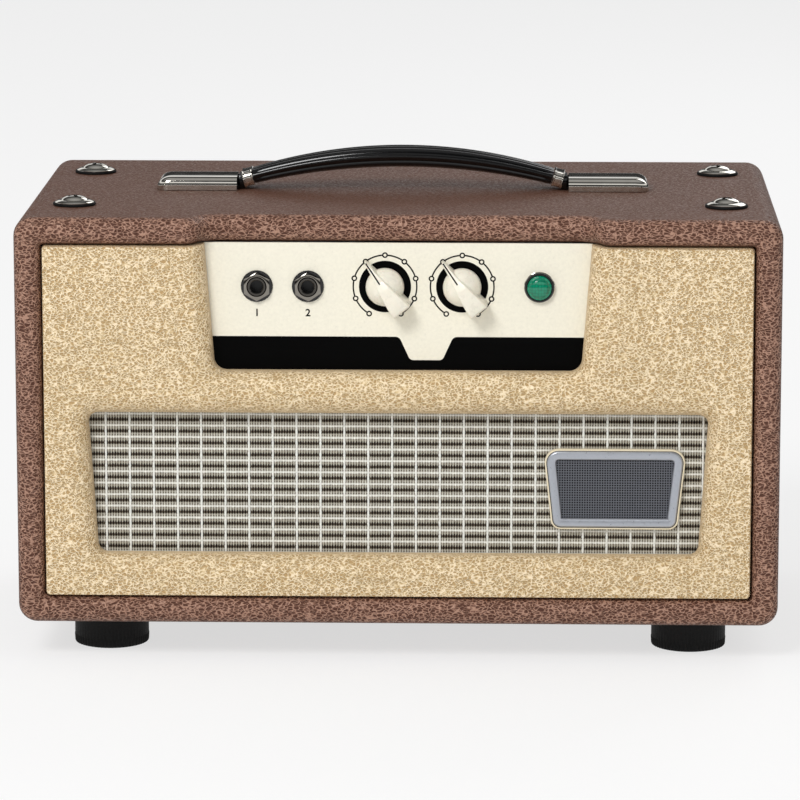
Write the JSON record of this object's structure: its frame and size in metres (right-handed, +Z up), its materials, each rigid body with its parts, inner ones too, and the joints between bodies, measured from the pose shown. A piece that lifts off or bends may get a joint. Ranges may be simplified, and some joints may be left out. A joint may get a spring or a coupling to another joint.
{
  "type": "guitar amplifier head",
  "caption": "Small two-tone vinyl-covered valve guitar amp head with carry handle, recessed control panel, jack inputs, pointer knobs, pilot light and cloth grille.",
  "frame": {"origin": "on the floor under the middle of the cabinet, between its four feet", "axes": "+Z up; -Y is the front with the controls and the grille; +X is to the right as seen from the front"},
  "size_m": [0.382, 0.219, 0.2472],
  "materials": {
    "brown_vinyl": "plywood wrapped in grained vinyl, satin",
    "cream_vinyl": "plywood wrapped in grained vinyl, satin",
    "grille_cloth": "woven plastic thread",
    "badge": "polished rim round a dark field, bare",
    "foot_rubber": "matt",
    "grip": "satin, moulded over a steel strap",
    "chrome": "polished",
    "zinc_steel": "zinc plated",
    "chassis_steel": "satin",
    "panel": "gloss cream with a black band",
    "black_plastic": "satin",
    "knob": "polished",
    "shaft": "turned",
    "jewel": "transparent green",
    "glass": "clear",
    "socket": "ceramic",
    "iron": "lacquered",
    "laminate": "board with its parts soldered on"
  },
  "bodies": {
    "cabinet": {"top_board": "brown_vinyl", "bottom_board": "brown_vinyl", "left_side_board": "brown_vinyl", "right_side_board": "brown_vinyl", "back_panel": "brown_vinyl", "baffle_board": "cream_vinyl", "grille_cloth": "grille_cloth", "badge_plate": "badge", "foot_1": "foot_rubber", "foot_2": "foot_rubber", "foot_3": "foot_rubber", "foot_4": "foot_rubber", "left_end_cap": "chrome", "right_end_cap": "chrome", "pilot_bezel": "chrome", "jack_nut_1": "chrome", "jack_nut_2": "chrome", "cup_washer_1": "chrome", "cup_washer_2": "chrome", "cup_washer_3": "chrome", "cup_washer_4": "chrome", "chassis_bolt_1": "chrome", "chassis_bolt_2": "chrome", "chassis_bolt_3": "chrome", "chassis_bolt_4": "chrome", "left_handle_bolt": "zinc_steel", "right_handle_bolt": "zinc_steel", "volume_pot": "zinc_steel", "tone_pot": "zinc_steel", "attenuator_switch": "zinc_steel", "power_switch": "zinc_steel", "chassis": "chassis_steel", "control_panel": "panel", "input_jack_1": "black_plastic", "input_jack_2": "black_plastic", "speaker_jack_1": "black_plastic", "speaker_jack_2": "black_plastic", "mains_inlet": "black_plastic", "fuse_holder": "black_plastic", "pilot_jewel": "jewel", "preamp_valve_1": "glass", "preamp_valve_2": "glass", "power_valve": "glass", "preamp_valve_1_socket": "socket", "preamp_valve_2_socket": "socket", "power_valve_socket": "socket", "mains_transformer": "iron", "output_transformer": "iron", "circuit_board": "laminate"},
    "volume_control": {"volume_shaft": "shaft", "volume_knob": "knob"},
    "tone_control": {"tone_shaft": "shaft", "tone_knob": "knob"},
    "attenuator_control": {"attenuator_knob": "knob"},
    "switch_lever": {"switch_lever": "chrome"},
    "fuse_link": {"fuse": "glass"},
    "fuse_cap": {"fuse_cap": "black_plastic"},
    "handle": {"handle_grip": "grip", "left_ferrule": "chrome", "right_ferrule": "chrome"}
  },
  "joints": [
    {"name": "volume_turn", "type": "hinge", "parent": "cabinet", "child": "volume_control", "pos_m": [-0.0065, -0.0947, 0.1892], "axis": [0, 1, 0], "range_deg": [-112.5, 187.5]},
    {"name": "tone_turn", "type": "hinge", "parent": "cabinet", "child": "tone_control", "pos_m": [0.032, -0.0947, 0.1892], "axis": [0, 1, 0], "range_deg": [-112.5, 187.5]},
    {"name": "attenuator_turn", "type": "hinge", "parent": "cabinet", "child": "attenuator_control", "pos_m": [0, 0.0929, 0.176], "axis": [0, -1, 0], "range_deg": [-75, 75]},
    {"name": "power_rock", "type": "hinge", "parent": "cabinet", "child": "switch_lever", "pos_m": [0.052, 0.0929, 0.176], "axis": [1, 0, 0], "range_deg": [0, 24]},
    {"name": "fuse_draw", "type": "slide", "parent": "cabinet", "child": "fuse_link", "axis": [0, 1, 0], "range_m": [0, 0.03]},
    {"name": "fuse_cap_turn", "type": "hinge", "parent": "fuse_link", "child": "fuse_cap", "pos_m": [0.08, 0.0929, 0.176], "axis": [0, 1, 0], "range_deg": [0, 90]},
    {"name": "handle_lift", "type": "slide", "parent": "cabinet", "child": "handle", "axis": [0, 0, 1], "range_m": [0, 0.003]}
  ]
}
